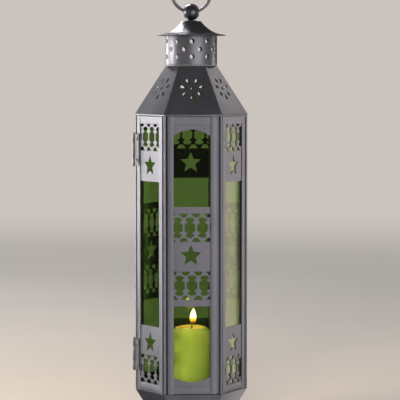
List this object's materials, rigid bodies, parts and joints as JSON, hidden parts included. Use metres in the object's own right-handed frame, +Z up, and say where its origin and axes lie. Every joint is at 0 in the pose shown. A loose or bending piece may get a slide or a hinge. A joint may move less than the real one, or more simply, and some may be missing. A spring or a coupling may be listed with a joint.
{
  "type": "hexagonal metal candle lantern",
  "caption": "Tall hexagonal metal lantern with green glass, pierced star and lattice panels, hinged door, pierced roof and chimney, flared cap, ball finial and hanging ring.",
  "frame": {"origin": "middle of the underside of the foot", "axes": "+Z up, -Y out of the front side, +X to the right as seen from the front"},
  "size_m": [0.1509, 0.1307, 0.5967],
  "materials": {
    "pewter": "satin gunmetal sheet with fine vertical streaks",
    "dark_pewter": "darker satin gunmetal sheet",
    "steel_fittings": "plain satin steel",
    "green_glass": "clear yellow-green glass",
    "wax": "ivory candle wax, lit from inside near the top",
    "cotton": "burnt cotton wick"
  },
  "bodies": {
    "lantern": {"back_frame": "pewter", "back_glass": "green_glass", "back_left_post": "pewter", "back_pierced_sheet": "dark_pewter", "back_right_post": "pewter", "base_foot": "pewter", "base_skirt": "pewter", "candle": "wax", "cap": "dark_pewter", "chimney": "pewter", "chimney_seat": "pewter", "finial_ball": "dark_pewter", "finial_nut": "steel_fittings", "finial_washer": "dark_pewter", "floor_plate": "pewter", "front_frame": "pewter", "front_glass": "green_glass", "front_left_post": "pewter", "front_pierced_sheet": "dark_pewter", "front_right_post": "pewter", "latch_peg": "steel_fittings", "left_front_frame": "pewter", "left_front_glass": "green_glass", "left_front_pierced_sheet": "dark_pewter", "left_post": "pewter", "lower_hinge_fixed_bottom_rivet": "steel_fittings", "lower_hinge_fixed_leaf": "steel_fittings", "lower_hinge_fixed_top_rivet": "steel_fittings", "lower_hinge_pin": "steel_fittings", "right_back_frame": "pewter", "right_back_glass": "green_glass", "right_back_pierced_sheet": "dark_pewter", "right_front_frame": "pewter", "right_front_glass": "green_glass", "right_front_pierced_sheet": "dark_pewter", "right_post": "pewter", "roof_shell": "dark_pewter", "upper_hinge_fixed_bottom_rivet": "steel_fittings", "upper_hinge_fixed_leaf": "steel_fittings", "upper_hinge_fixed_top_rivet": "steel_fittings", "upper_hinge_pin": "steel_fittings", "wick": "cotton"},
    "door": {"door_frame": "pewter", "door_glass": "green_glass", "door_knob": "steel_fittings", "door_pierced_sheet": "dark_pewter", "latch_pivot": "steel_fittings", "lower_hinge_door_bottom_rivet": "steel_fittings", "lower_hinge_door_leaf": "steel_fittings", "lower_hinge_door_top_rivet": "steel_fittings", "upper_hinge_door_bottom_rivet": "steel_fittings", "upper_hinge_door_leaf": "steel_fittings", "upper_hinge_door_top_rivet": "steel_fittings"},
    "latch": {"latch_hook": "steel_fittings"},
    "ring": {"hanging_ring": "steel_fittings"}
  },
  "joints": [
    {"name": "door_hinge", "type": "hinge", "parent": "lantern", "child": "door", "pos_m": [-0.0753, 0, 0.2297], "axis": [0, 0, 1], "range_deg": [0, 200]},
    {"name": "latch_turn", "type": "hinge", "parent": "door", "child": "latch", "pos_m": [-0.04272, 0.057, 0.232], "axis": [0.866, -0.5, 0], "range_deg": [0, 75]},
    {"name": "ring_swing", "type": "hinge", "parent": "lantern", "child": "ring", "pos_m": [0, 0, 0.5431], "axis": [1, 0, 0], "range_deg": [-118, 118]}
  ]
}
